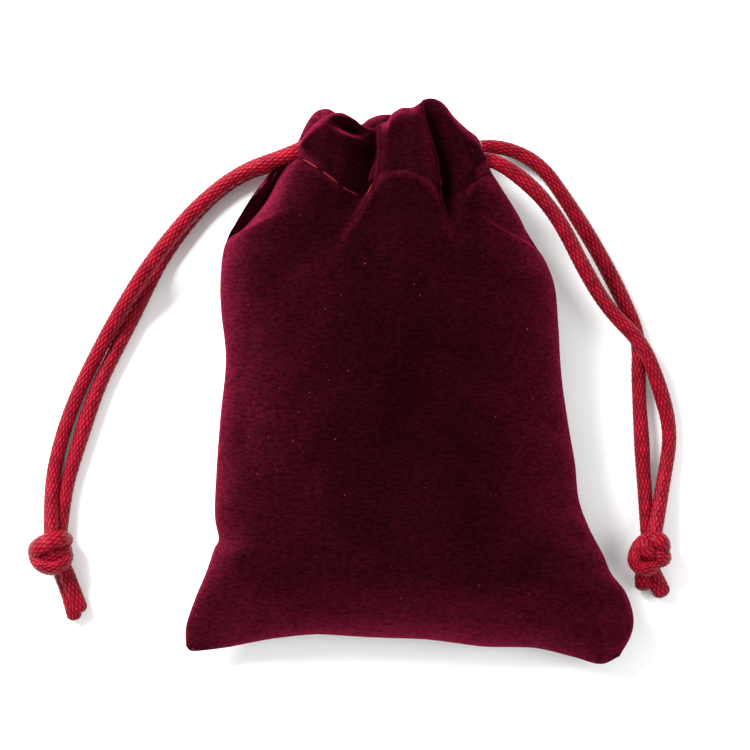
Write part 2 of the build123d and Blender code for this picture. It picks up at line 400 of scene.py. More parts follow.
CLOTH = 0.9  # velvet with its pile
STITCH_LINE = [
    (-17.5, 34.9), (-16.1, 34.2), (-12.6, 31.9), (-9.1, 29.4), (-6.6, 28.6), (-4.9, 31.4), (-3.2, 32.3),
    (-1.0, 32.5), (1.5, 31.8), (3.6, 30.6), (5.3, 28.2), (7.2, 28.5), (9.4, 30.2), (11.4, 31.9),
    (12.6, 32.4),
]
HEM_END = 1.0  # how far the turned edge goes on below the stitches
TURNED_SHORTER = 3.2  # how much sooner the turned layer ends at a side than the outer one
FRONT_ROOM = (4.7, 0.19)  # thickness of the front's hem, and the share of a valley's depth that it loses
BACK_ROOM = (4.6, 0.25)
BACK_STITCHES_LOWER = 0.6  # how far the back's line of stitches is below the front's


def plan(left, right, top):
    """A grid of plan positions inside four edges: rows from bottom to top, columns from left to right."""
    bottom, top = outline(BOTTOM, COLUMNS), outline(top, COLUMNS)
    left, right = outline(left, BODY_ROWS), outline(right, BODY_ROWS)
    s = np.linspace(0, 1, COLUMNS)[None, :, None]
    t = np.linspace(0, 1, BODY_ROWS)[:, None, None]
    across = (1 - t) * bottom[None] + t * top[None]
    upward = (1 - s) * left[:, None] + s * right[:, None]
    corners = (
        (1 - s) * (1 - t) * bottom[0]
        + s * (1 - t) * bottom[-1]
        + (1 - s) * t * top[0]
        + s * t * top[-1]
    )
    return across + upward - corners


def stitch_height(x):
    """y of the front's line of stitches."""
    points = np.array(STITCH_LINE)
    return hermite(points[:, 0], points[:, 1], x)


def hem_grid(xy, thick_at, height_at, facing):
    """The velvet face of a panel: up its outside, over the fold at the top and down the turned layer.

    height_at(x, y, across) is the outside's height, thick_at(x, y) the hem's thickness, and facing is 1
    where the outside faces up. Gives the points, and how far each is from the outside to the turned layer.
    """
    steps = np.linalg.norm(np.diff(xy, axis=0), axis=2)
    along = np.vstack([np.zeros((1, COLUMNS)), np.cumsum(steps, axis=0)])
    total = along[-1]
    across = np.linspace(-1, 1, COLUMNS)
    top_radius = thick_at(xy[-1, :, 0], xy[-1, :, 1]) / 2
    stitches = stitch_height(xy[-1, :, 0])
    theta = np.linspace(math.pi / 2, -math.pi / 2, FOLD_ROWS)
    grid, turned = [], []
    for j in range(COLUMNS):
        radius = top_radius[j]
        crest = total[j] - radius
        body = np.linspace(0, crest, BODY_ROWS)
        arc = crest + radius * np.cos(theta[1:])
        hem_low = np.interp(stitches[j] - HEM_END, xy[:, j, 1], along[:, j])
        back = np.linspace(crest, hem_low, HEM_ROWS)[1:]
        place = np.concatenate([body, arc, back])
        x = np.interp(place, along[:, j], xy[:, j, 0])
        y = np.interp(place, along[:, j], xy[:, j, 1])
        height = height_at(x, y, np.full_like(x, across[j]))
        top_height = height[BODY_ROWS - 1]
        thick = thick_at(x, y)
        n = BODY_ROWS
        fold = slice(n, n + FOLD_ROWS - 1)
        layer = slice(n + FOLD_ROWS - 1, None)
        height[fold] = top_height - facing * radius * (1 - np.sin(theta[1:]))
        height[layer] = height[layer] - facing * thick[layer]
        share = np.concatenate([np.zeros(n), 0.5 - 0.5 * np.sin(theta[1:]), np.ones(HEM_ROWS - 1)])
        grid.append(np.stack([x, y, height], axis=1))
        turned.append(share)
    return np.stack(grid, axis=1), np.stack(turned, axis=1)


def drawn_in(grid, turned):
    """The grid with the turned layer ending sooner at both sides, where the cords come out."""
    x = grid[..., 0]
    middle = (x[:, :1] + x[:, -1:]) / 2
    half = (x[:, -1:] - x[:, :1]) / 2
    outward = (x - middle) / half
    near_side = smoothstep(0.6, 1.0, np.abs(outward))
    result = grid.copy()
    result[..., 0] -= TURNED_SHORTER * np.sign(outward) * near_side * smoothstep(0.4, 1.0, turned)
    return result


def pillow(across, power, edge):
    """Height from 0 at both sides to 1 in the middle."""
    return np.clip(1 - np.abs(across) ** power, 0, 1) ** edge


def nearness(x, y, valley):
    """From 1 at the bottom of a valley to 0 away from it."""
    off = x - table_curve(valley["path"], y)
    width = np.where(off < 0, valley["left"], valley["right"])
    return np.exp(-np.abs(off / width) ** 1.7)


def valley_cut(x, y, valley):
    """How far a valley lies below the cloth beside it."""
    return table_curve(valley["depth"], y) * nearness(x, y, valley)


def ellipse_dip(x, y, centre, radii, tilt, soft):
    """1 inside an ellipse tilted by some degrees, falling to 0 over the soft part of its rim."""
    c, s = math.cos(math.radians(tilt)), math.sin(math.radians(tilt))
    u = ((x - centre[0]) * c + (y - centre[1]) * s) / radii[0]
    v = (-(x - centre[0]) * s + (y - centre[1]) * c) / radii[1]
    return 1 - smoothstep(1 - soft, 1 + soft, np.hypot(u, v))


def seam_height(y):
    """The seam is lower at the bottom of the pouch, where it is empty."""
    return SEAM_Z - 3.4 * (1 - smoothstep(-43, -30, y))


def bottom_distance(x, y):
    """Distance above the bottom edge."""
    points = np.array(sorted(BOTTOM))
    return y - np.interp(x, points[:, 0], points[:, 1])


# Valleys of the gathers: (y, x of the bottom), (y, depth), widths to the left and right, and how far the
# bottom is tucked under the pleat beside it, as (y, distance).
FRONT_VALLEYS = [
    dict(
        path=[(16, -13.0), (22, -10.6), (26, -8.6), (28, -7.7), (30.2, -6.7), (32.3, -6.2), (36, -5.9),
              (40, -6.0)],
        depth=[(16, 0), (20, 0.15), (24, 0.8), (27, 2.3), (30, 4.1), (33, 4.6), (37, 4.4), (41, 3.4)],
        left=3.0,
        right=0.95,
        tuck=[(24, 0), (28, 0.6), (32, 1.5), (41, 1.5)],
    ),
    dict(
        path=[(16, 9.0), (22, 7.6), (27, 6.5), (30, 6.3), (33, 6.1), (36, 5.4), (39, 4.3), (43, 3.0)],
        depth=[(16, 0), (20, 0.15), (24, 0.8), (27, 2.3), (30, 3.9), (33, 4.2), (36, 3.5), (39, 2.4),
               (43, 1.2)],
        left=0.95,
        right=2.2,
        tuck=[(24, 0), (28, -1.0), (32, -1.8), (38, -1.4), (43, -0.6)],
    ),
]


def tucked(grid):
    """The grid with each valley's bottom drawn sideways, under the pleat."""
    result = grid.copy()
    x, y = grid[..., 0], grid[..., 1]
    for valley in FRONT_VALLEYS:
        result[..., 0] += table_curve(valley["tuck"], y) * nearness(x, y, valley) ** 1.6
    return result


# The curl at the top of the left gather, and the hollow pressed into it.
CURL = dict(centre=(-9.0, 37.0), radii=(2.8, 1.0), tilt=-16, soft=0.9)
CURL_RISE = 0.55
HOLLOW = dict(centre=(-9.0, 39.0), radii=(2.2, 0.85), tilt=-22, soft=0.5)
HOLLOW_DEPTH = 3.0
PUCKER_REACH = 2.8  # how far in from an edge the puckers of its seam go
PUCKER_START = 0.8


def hollowed(grid, turned):
    """The grid with the hollow pressed into its outside."""
    result = grid.copy()
    outside = np.clip(1 - 2 * turned, 0, 1)
    result[..., 2] -= HOLLOW_DEPTH * outside * ellipse_dip(grid[..., 0], grid[..., 1], **HOLLOW)
    return result


def front_height(x, y, across):
    """Height of the front's outside."""
    seam = seam_height(y)
    up = bottom_distance(x, y)
    neck = smoothstep(18, 33, y)
    over = y - stitch_height(x)
    tube = smoothstep(-0.4, 2.2, over)

    round_belly = pillow(across, 2.15, 0.60)
    tight_neck = pillow(across, 3.4, 0.5)
    open_side = 0.87 + 0.13 * pillow(across, 2.6, 0.8)
    belly = round_belly * (1 - neck) + tight_neck * neck
    belly = belly * (1 - tube) + open_side * tube
    roll = (1 - (1 - np.clip(up / 4.5, 0, 1)) ** 2.2) ** 0.62
    slope = 1 - (1 - np.clip(up / 24, 0, 1)) ** 2
    rise = 0.42 * roll + 0.58 * slope
    z = seam + 0.25 + (8.5 - 0.7 * neck) * rise * belly

    edge = (1 - np.abs(across)) * HALF_WIDTH
    inside = np.clip(edge / 5, 0, 1)
    z += 0.30 * ripple(x, y, 27, 3) * inside * (1 - neck)
    z += 0.10 * ripple(x, y, 9, 5) * inside * (1 - neck)
    pucker = ripple(x * 0.3, y, 4.4, 8)
    z += 0.26 * pucker * np.exp(-edge / PUCKER_REACH) * np.clip(edge / PUCKER_START, 0, 1) * (1 - tube)
    pucker = ripple(x, y * 0.3, 5.0, 9)
    z += 0.20 * pucker * np.exp(-up / PUCKER_REACH) * np.clip(up / PUCKER_START, 0, 1)

    for valley in FRONT_VALLEYS:
        z -= valley_cut(x, y, valley)
    z += CURL_RISE * ellipse_dip(x, y, **CURL)
    # the pleat in the middle stands out
    z += 0.9 * np.exp(-(((x + 0.2) / 4.2) ** 4)) * smoothstep(25, 32, y)
    z += 0.12 * ripple(x * 1.3, y * 0.4, 6.5, 31) * smoothstep(27, 33, y)

    # the line of stitches pulls the cloth in, and the cloth below it swells out
    below = -over
    z -= 0.20 * np.exp(-((below / 0.5) ** 2)) * np.clip(edge / 2, 0, 1)
    swell = smoothstep(-0.2, 2.2, below) * np.exp(-np.clip(below, 0, None) / 3.4)
    z += 0.55 * swell * np.clip(edge / 3, 0, 1)
    return z


def front_thickness(x, y):
    """Thickness of the front's hem, which holds the cord, down to two layers of cloth at the stitches."""
    return hem_thickness(x, y, y - stitch_height(x), FRONT_ROOM, FRONT_VALLEYS)


def hem_thickness(x, y, over, room, valleys, extra=0):
    """Thickness of a hem that holds the cord, less in its valleys. over is measured up from the stitches."""
    room, share = room
    for valley in valleys:
        room = room - share * valley_cut(x, y, valley)
    return 2 * CLOTH + (room - 2 * CLOTH + extra) * smoothstep(-0.2, 2.4, over)


BACK_VALLEYS = [
    dict(path=[(14, -13), (24, -10.5), (32, -9.4), (42, -9.0)],
         depth=[(14, 0), (24, 1.0), (31, 2.4), (42, 2.0)], left=1.9, right=1.4),
    dict(path=[(14, -3), (26, -2.2), (42, -1.4)],
         depth=[(14, 0), (26, 0.8), (31, 2.2), (42, 1.8)], left=1.3, right=2.2),
    dict(path=[(14, 8.4), (26, 5.9), (42, 4.9)],
         depth=[(14, 0), (24, 1.0), (31, 2.4), (42, 2.0)], left=2.0, right=1.3),
]
CRUMPLE = (-14.0, 2.2)  # x of the middle and width of the crumpled part of the back's hem


def edge_x(edge, y):
    """x of an outline that goes up, at y."""
    points = np.array(sorted((b, a) for a, b in edge))
    return np.interp(y, points[:, 0], points[:, 1])


def flap_width(y):
    """How much further out than the front the back's left side shows at the shoulder."""
    shown = edge_x(LEFT_BODY[-3:] + LEFT_FRONT_SHOULDER, y) - edge_x(LEFT_BODY[-3:] + LEFT_BACK_SHOULDER, y)
    return np.clip(shown, 0, None)


def back_height(x, y, across):
    """Height of the back's outside, which faces the floor."""
    seam = seam_height(y)
    up = bottom_distance(x, y)
    neck = smoothstep(20, 33, y)
    over = y - stitch_height(x) + BACK_STITCHES_LOWER
    tube = smoothstep(-0.4, 2.2, over)

    half = HALF_WIDTH - 14.0 * neck
    flap = flap_width(y) * 0.95 / half
    puckered = np.where(across < 0, 1 - smoothstep(0.2, 0.8, flap_width(y)), 1)
    left_side = np.minimum(-1 + np.clip(across + 1 - flap, 0, None) / (1 - flap), 0)
    side = np.where(across < 0, left_side, across)
    round_belly = pillow(side, 2.6, 0.6)
    tight_neck = pillow(side, 4.2, 0.5)
    belly = round_belly * (1 - neck) + tight_neck * neck
    belly = belly * (1 - tube) + (0.86 + 0.14 * pillow(across, 2.6, 0.8)) * tube
    rise = (1 - (1 - np.clip(up / 12, 0, 1)) ** 2.4) ** 0.72
    z = seam - 0.25 - (seam + 0.6) * belly * rise

    edge = (1 - np.abs(across)) * HALF_WIDTH
    inside = np.clip(edge / 8, 0, 1)
    z += 0.25 * ripple(x, y, 24, 13) * inside
    pucker = 0.24 * ripple(x * 0.3, y, 4.4, 18) * np.exp(-edge / PUCKER_REACH)
    z += pucker * np.clip(edge / PUCKER_START, 0, 1) * (1 - tube) * puckered
    for valley in BACK_VALLEYS:
        z += valley_cut(x, y, valley)
    z += 0.5 * np.exp(-((over / 0.45) ** 2)) * np.clip(edge / 2, 0, 1)
    return soft_floor(z)


def back_thickness(x, y):
    """Thickness of the back's hem, with its crumples."""
    over = y - stitch_height(x) + BACK_STITCHES_LOWER
    middle, width = CRUMPLE
    crumple = ripple(x * 1.3 + y * 0.5, y * 0.25, 1.7, 21) * np.exp(-(((x - middle) / width) ** 2))
    crumple = crumple * smoothstep(35, 39, y)
    return hem_thickness(x, y, over, BACK_ROOM, BACK_VALLEYS, 0.45 * crumple)


def soft_floor(z):
    """Flattens what would be below the floor."""
    soft = 0.35
    return FLOOR_GAP + soft * np.log1p(np.exp(np.clip((z - FLOOR_GAP) / soft, -40, 40)))


# Where the gathers at a side of the mouth are split off, and where that side's blend line ends: (slope,
# start, end) of the distance hand * x + slope * y.
GATHERS = {"left": (0.9, 41.4, 50.3), "right": (0.9, 36.0, 42.0)}
GATHER_MARGIN = 0.6  # a gather's piece starts this much before the gather's start
CREASE_SHADE_WIDER = (0.6, 0.65)  # the painted shade's width: a share of the valley's, and a margin
CREASE_SHADE_DEPTH = 0.9  # depth of a valley from which its painted shade is full


def gather_reach(x, y, side):
    """The distance that GATHERS is measured in."""
    return HAND[side] * x + GATHERS[side][0] * y


def blend_line(side):
    slope, start, end = GATHERS[side]
    direction = np.array([HAND[side], slope])
    direction = direction / (direction @ direction)
    return tuple((*(direction * d * MM), 0.0) for d in (start, end))


def grid_normals(points):
    """Unit normals of a grid surface."""
    along = np.gradient(points, axis=0)
    across = np.gradient(points, axis=1)
    normal = np.cross(across, along)
    return normal / np.maximum(np.linalg.norm(normal, axis=2), 1e-12)[..., None]


def painted_shade_in_creases(x, y, valleys):
    """From 0 to 1, how much painted shade lies in the valleys, where it dims the painted sheen."""
    share, margin = CREASE_SHADE_WIDER
    cuts = 0
    for valley in valleys:
        widths = {word: share * valley[word] + margin for word in HAND}
        cuts = cuts + valley_cut(x, y, {**valley, **widths})
    return np.clip(cuts / CREASE_SHADE_DEPTH, 0, 1)


def smoothed(grid, rounds):
    """The grid with each point drawn to the average of its neighbours, some times over."""
    for _ in range(rounds):
        wide = np.pad(grid, ((1, 1), (1, 1), (0, 0)), mode="edge")
        grid = (wide[:-2, 1:-1] + wide[2:, 1:-1] + wide[1:-1, :-2] + wide[1:-1, 2:]) / 4
    return grid


def sheet_piece(name, outer, inner, keep, facing, painted_crease_shade):
    """A closed piece of cloth from the quads of a two-faced grid that keep marks."""
    rows, columns = outer.shape[:2]
    count = rows * columns
    points = np.vstack([outer.reshape(-1, 3), inner.reshape(-1, 3)])
    normals = np.vstack([
        (grid_normals(outer) * facing).reshape(-1, 3),
        (-grid_normals(inner) * facing).reshape(-1, 3),
    ])
    top = grid_faces(rows, columns, 0, flip=facing < 0)[keep.reshape(-1)]
    bottom = grid_faces(rows, columns, count, flip=facing > 0)[keep.reshape(-1)]
    sides = np.stack([top, np.roll(top, -1, axis=1)], axis=2).reshape(-1, 2)
    key = sides[:, 0] * count + sides[:, 1]
    opposite = sides[:, 1] * count + sides[:, 0]
    rim = sides[~np.isin(key, opposite)]
    rims = np.stack([rim[:, 1], rim[:, 0], rim[:, 0] + count, rim[:, 1] + count], axis=1)
    faces = np.vstack([top, bottom, rims])
    used, faces = np.unique(faces, return_inverse=True)
    thing = mesh_object(name, points[used], faces.reshape(-1, 4), normals[used])
    # painted shade of the valleys and the hollow, kept for the material
    store(thing, "painted_crease_shade", np.tile(painted_crease_shade.reshape(-1), 2)[used])
    return thing


def panel(side):
    """A panel's two faces as grids, which way its outside faces, and its painted shade in the valleys and the
    hollow.
    """
    if side == "front":
        xy = plan(LEFT_BODY + LEFT_FRONT_SHOULDER, RIGHT_BODY + RIGHT_FRONT_SHOULDER, FRONT_TOP)
        height_at, thick_at, facing, valleys = front_height, front_thickness, 1, FRONT_VALLEYS
    else:
        xy = plan(LEFT_BODY + LEFT_BACK_SHOULDER, RIGHT_BODY + RIGHT_BACK_SHOULDER, BACK_TOP)
        height_at, thick_at, facing, valleys = back_height, back_thickness, -1, BACK_VALLEYS
    grid, turned = hem_grid(xy, thick_at, height_at, facing)
    x, y = grid[..., 0], grid[..., 1]
    painted_crease_shade = painted_shade_in_creases(x, y, valleys)
    if side == "front":
        # the hollow gets painted shade too
        wider = {**HOLLOW, "radii": np.multiply(HOLLOW["radii"], 1.5)}
        painted_crease_shade = np.maximum(painted_crease_shade, ellipse_dip(x, y, **wider))
        grid = hollowed(tucked(grid), turned)
    outer = drawn_in(grid, turned)
    corners = (outer[0, 0], outer[0, -1])
    away = np.minimum(*(np.linalg.norm(outer - corner, axis=2) for corner in corners))
    thick = CLOTH * smoothstep(-0.5, 3.0, away)[..., None]
    inner = outer - smoothed(grid_normals(outer), 4) * facing * thick
    inner[..., 2] = np.maximum(inner[..., 2], FLOOR_GAP)
    return outer, inner, facing, painted_crease_shade


def panel_pieces(side):
    """The pieces of a panel: the one that stays, and its gathers at the left and right of the mouth."""
    outer, inner, facing, painted_crease_shade = PANELS[side]
    middle = (outer[:-1, :-1] + outer[1:, :-1] + outer[:-1, 1:] + outer[1:, 1:]) / 4
    x, y = middle[..., 0], middle[..., 1]
    left = gather_reach(x, y, "left") > GATHERS["left"][1] - GATHER_MARGIN
    right = (gather_reach(x, y, "right") > GATHERS["right"][1] - GATHER_MARGIN) & ~left
    pieces = {
        f"{side}_velvet": ~(left | right),
        f"{side}_velvet_left_gathers": left,
        f"{side}_velvet_right_gathers": right,
    }
    return {name: sheet_piece(name, outer, inner, keep, facing, painted_crease_shade) for name, keep in pieces.items()}


# ---- knots and hidden runs

OVERLAP = 0.7  # how far a hidden run goes on inside its strand

# The cord's run through both hems: out along the front, round the far side, back along the back.
CHANNEL_RUNS = {
    "left_cord_channel_run": [
        (EXIT_LEFT - OVERLAP, HIGH_Y, FRONT_Z), (-12.0, HIGH_Y, 12.0), (-9.8, HIGH_Y, 9.6),
        (-7.0, HIGH_Y, 8.9), (-4.2, HIGH_Y, 8.9), (-1.6, HIGH_Y, 12.0), (0.8, HIGH_Y, 12.2),
        (3.2, HIGH_Y, 9.9), (6.0, HIGH_Y, 9.4), (8.4, HIGH_Y, 10.8), (10.2, HIGH_Y, 11.8),
        (10.4, 36.2, 9.6), (10.5, 34.4, 4.6), (10.2, LOW_Y, BACK_Z), (8.0, LOW_Y, BACK_Z),
        (0.0, LOW_Y, 3.4), (-8.0, LOW_Y, 3.3), (EXIT_LEFT - OVERLAP, LOW_Y, BACK_Z),
    ],
    "right_cord_channel_run": [
        (EXIT_RIGHT + OVERLAP, LOW_Y, FRONT_Z), (8.4, LOW_Y, 10.9), (7.0, LOW_Y, 9.1), (3.6, LOW_Y, 9.0),
        (1.2, LOW_Y, 12.0), (-1.6, LOW_Y, 12.0), (-4.0, LOW_Y, 8.9), (-6.8, LOW_Y, 8.7),
        (-9.8, LOW_Y, 9.5), (-12.4, LOW_Y, 11.9), (-14.6, LOW_Y, 12.5), (-15.9, LOW_Y, 12.2),
        (-16.0, 34.3, 10.0), (-16.0, 36.2, 4.6), (-15.6, HIGH_Y, BACK_Z), (-13.0, HIGH_Y, BACK_Z),
        (-6.0, HIGH_Y, 3.3), (2.0, HIGH_Y, 3.4), (EXIT_RIGHT + OVERLAP, HIGH_Y, BACK_Z),
    ],
}

# Distances out from the pouch's middle: the run's near part lies beyond the first, and the two give the near
# part's ramp.
RUN_STRETCHES = {"left": (4.0, 13.6), "right": (3.2, 8.6)}
KNOTS = {"left": (-55.6, -26.6, 3.2), "right": (37.8, -26.6, 3.2)}
FLAT = 0.72  # thickness of a pressed cord as a share of its width
KNOT_LAY = 14.0  # the braid is shorter and wider where the knot presses it

# Each knot's turns, from its middle: points, half widths at even stations, flatness.
KNOT_TURNS = {
    "left": [
        ([(0.4, 2.9, -1.2), (1.7, 2.5, 0.0), (1.2, 2.2, 1.5), (-0.4, 1.7, 2.3), (-1.9, 0.9, 1.8),
          (-2.7, 0.1, 0.4), (-1.9, -0.2, -1.4)], (1.1, 1.45, 1.6, 1.6, 1.4), FLAT),
        ([(2.2, 0.6, -1.2), (2.2, 0.4, 0.4), (1.1, -0.1, 1.5), (-0.6, -0.5, 1.6), (-2.2, -0.7, 0.8),
          (-2.9, -0.8, -0.4)], (1.0, 1.2, 1.3, 1.2, 1.0), FLAT),
        ([(-2.8, 0.3, -0.8), (-2.7, -0.9, 0.7), (-1.5, -2.1, 1.4), (0.3, -2.4, 1.6), (1.8, -1.8, 1.3),
          (2.4, -0.8, 0.0), (1.6, -0.4, -1.6)], (1.1, 1.3, 1.4, 1.3, 1.1), FLAT),
        ([(1.5, 2.0, -1.6), (2.1, 1.9, 0.0), (1.8, 1.1, 0.8)], (0.9, 1.15, 0.9), 1.0),
        ([(-1.4, 1.0, -0.4), (0.0, 0.2, 0.2), (1.2, -0.7, -0.4)], (1.6, 2.4, 1.6), 1.0),
    ],
    "right": [
        ([(0.5, 2.4, -0.8), (-0.5, 2.1, 0.7), (-1.5, 1.2, 1.2), (-2.1, 0.0, 1.3), (-2.3, -1.3, 1.4),
          (-1.5, -2.3, 1.4), (0.0, -2.5, 1.3), (1.1, -1.7, 0.6), (1.4, -0.8, -1.0)],
         (1.0, 1.15, 1.2, 1.3, 1.15), 0.85),
        ([(0.9, -0.8, -1.0), (0.4, -0.1, 0.9), (-0.4, 0.6, 1.9), (-0.4, 1.4, 1.4), (0.2, 2.0, -0.6)],
         (1.1, 1.4, 1.45, 1.3, 1.0), 0.9),
        ([(0.2, 2.1, 0.0), (1.2, 2.1, 1.5), (2.0, 1.3, 1.5), (2.0, 0.3, 0.3), (1.2, 0.0, -1.2)],
         (1.1, 1.45, 1.45, 1.3, 1.0), 0.9),
        ([(0.7, -0.4, 0.8), (1.6, -0.3, 1.5), (2.3, -0.8, 1.0), (1.9, -1.4, -0.6)],
         (1.1, 1.3, 1.35, 1.1), 0.9),
        ([(-1.2, 0.9, -0.6), (-0.2, 0.0, 0.0), (1.0, -0.9, -0.6)], (1.6, 2.2, 1.6), 1.0),
    ],
}

# The cut ends below each knot, from the knot's middle: points and half widths.
CUT_ENDS = {
    "left": [
        ([(1.2, -1.0, -0.4), (1.9, -2.8, -0.8), (2.9, -5.8, -1.4), (4.3, -9.6, -1.7)],
         (1.0, 1.25, 1.3, 1.3)),
        ([(0.5, -1.4, -1.6), (1.2, -3.6, -1.9), (2.3, -6.8, -2.0), (3.4, -10.8, -2.0)],
         (1.0, 1.15, 1.15, 1.2)),
    ],
    "right": [
        ([(-0.4, -1.8, -0.6), (-0.6, -3.2, -1.1), (-0.6, -4.6, -1.6), (-0.5, -6.1, -1.8)],
         (1.1, 1.3, 1.4, 1.35)),
        ([(0.5, -1.6, -0.9), (0.9, -3.4, -1.3), (1.7, -5.2, -1.7), (2.6, -7.1, -1.8)],
         (1.1, 1.3, 1.4, 1.35)),
    ],
}
CUT_ROUND = 0.9  # length over which a cut end is rounded off


def placed(points, centre):
    """A smooth line through points that are given from a knot's middle."""
    return catmull_rom(np.array([tuple(np.add(p, centre)) for p in points]), 20)


def knot_mesh(side):
    centre = KNOTS[side]
    shapes = []
    for turn, (points, widths, flat) in enumerate(KNOT_TURNS[side]):
        line = placed(points, centre)
        shapes.append(tube_shape(line, widths, flat, step=0.12, turn=turn * 0.7, lay=KNOT_LAY, face=centre))
    return cord_mesh(f"{side}_satin_knot", shapes)


def run_meshes(side):
    """The hidden run in two pieces: near the strands, and far, where it goes round the other side."""
    node = side + "_cord_channel_run"
    line = nurbs_points(node, CHANNEL_RUNS[node])
    far = np.flatnonzero(HAND[side] * line[:, 0] < RUN_STRETCHES[side][0])
    first, last = far[0], far[-1]
    parts = {"near": [line[:first + 1], line[last:]], "far": [line[first - 1:last + 2]]}
    coarse = dict(sides=28, step=0.3)
    return {
        word: cord_mesh(f"satin_{node}_{word}", [tube_shape(line, CORD_R, **coarse) for line in run])
        for word, run in parts.items()
    }


def cut_ends_mesh(side):
    shapes = []
    for turn, (points, widths) in enumerate(CUT_ENDS[side]):
        line = placed(points, KNOTS[side])
        shapes.append(tube_shape(line, widths, 0.92, step=0.10, turn=turn * 0.4, end_round=CUT_ROUND))
    return cord_mesh(f"{side}_satin_cut_ends", shapes)


# ---- thread

STITCH_PITCH = 3.1
STITCH_LENGTH = 2.2
SEAM_INSET = 0.35  # from the edge to the seam's stitches
SEAM_REACH = 0.75  # how far a seam's stitch goes above and below the seam
THREAD_R = 0.13
THREAD_SHOWS = -8.8  # left of here the stitches lie on the cloth, and elsewhere they are sunk in it
THREAD_STANDS = (-0.03, -0.50)  # height of the thread's middle above the cloth, where it shows and elsewhere


def thread_tube(points, radius=THREAD_R, sides=8):
    """A short round thread through points, as points and faces."""
    line = catmull_rom(np.array(points, float), 4)
    across, up = carried_frames(line)
    angle = np.linspace(0, math.tau, sides, endpoint=False)
    ends = np.sin(np.linspace(0.35, math.pi - 0.35, len(line))) ** 0.4
    ring = across[:, None, :] * np.cos(angle)[None, :, None] + up[:, None, :] * np.sin(angle)[None, :, None]
    tube = line[:, None, :] + ring * (radius * ends)[:, None, None]
    caps = [range(sides - 1, -1, -1), range((len(line) - 1) * sides, len(line) * sides)]
    return tube.reshape(-1, 3), [*ring_faces(len(line), sides), *caps]


def hem_stitches(side):
    """Lines of the stitches along the hem, sorted by which gather of the mouth they lie in, if any."""
    facing = PANELS[side][2]
    groups = {"": [], "left": [], "right": []}
    end = STITCH_LINE[-1][0] - 1.4
    for x in np.arange(STITCH_LINE[0][0] + 1.5, end, STITCH_PITCH):
        place = np.linspace(x, min(x + STITCH_LENGTH, end), 5)
        middle = len(place) // 2
        y = stitch_height(place) - (0 if side == "front" else BACK_STITCHES_LOWER)
        reach = {word: gather_reach(place[middle], y[middle], word) for word in GATHERS}
        moving = [word for word in GATHERS if reach[word] > GATHERS[word][1] - GATHER_MARGIN]
        stands = THREAD_STANDS[0 if x < THREAD_SHOWS else 1]
        stitch = [(a, b, surface_at(side, a, b) + facing * stands) for a, b in zip(place, y)]
        groups[moving[0] if moving else ""].append(stitch)
    return groups


def surface_at(side, x, y):
    """Height of a panel's outside at a place."""
    outer = PANELS[side][0][:BODY_ROWS].reshape(-1, 3)
    return outer[np.argmin((outer[:, 0] - x) ** 2 + (outer[:, 1] - y) ** 2), 2]


def seam_stitches(edge, inset):
    """Short stitches across the seam, along an outline."""
    line = outline(edge, 400)
    along = distances(line)
    direction = unit(np.gradient(line, axis=0))
    inward = np.stack([-direction[:, 1], direction[:, 0]], axis=1) * inset
    line = line + inward
    stitches = []
    for at in np.arange(1.5, along[-1] - 1.0, STITCH_PITCH):
        x, y = (np.interp(at, along, line[:, k]) for k in range(2))
        z = float(seam_height(y))
        stitches.append([(x, y, z - SEAM_REACH), (x, y, z), (x, y, z + SEAM_REACH)])
    return stitches


# ---- materials


# Ramps of colour: (position, colour) stops.
VELVET_TONES = [(0.30, (0.0062, 0.0005, 0.0012)), (0.70, (0.0105, 0.0008, 0.0020))]
VELVET_GRAIN = [(0.65, (0.62, 0.62, 0.62)), (1.08, (1.45, 1.45, 1.45))]
# the velvet's painted sheen: colour added to the base colour by slant
VELVET_PAINTED_SHEEN = [(0.0, (0, 0, 0)), (0.15, (0.016, 0.0008, 0.0026)), (0.6, (0.078, 0.0040, 0.0140))]
# painted shade in the valleys and the hollow, which dims the painted sheen
CREASE_SHADE_DIMMING = [(0.10, (1, 1, 1)), (0.75, (0.08, 0.08, 0.08))]
LINT = [(0.785, (0, 0, 0)), (0.82, (0.10, 0.03, 0.035))]
# painted shade in the braid's grooves and painted highlights on its tops, set by the relief
SATIN_PAINTED_SHADE_AND_HIGHLIGHTS = [
    (0.20, (0.070, 0.0008, 0.0028)),
    (0.60, (0.140, 0.0018, 0.0058)),
    (0.95, (0.285, 0.0090, 0.0250)),
]
SATIN_SHADE = [(0.3, (0.60, 0.60, 0.60)), (0.7, (1.22, 1.22, 1.22))]
THREAD_TONES = [(0.3, (0.10, 0.002, 0.006)), (0.7, (0.24, 0.005, 0.014))]
FLOOR_TONES = [(0.3, (0.90, 0.90, 0.90)), (0.7, (0.93, 0.93, 0.93))]


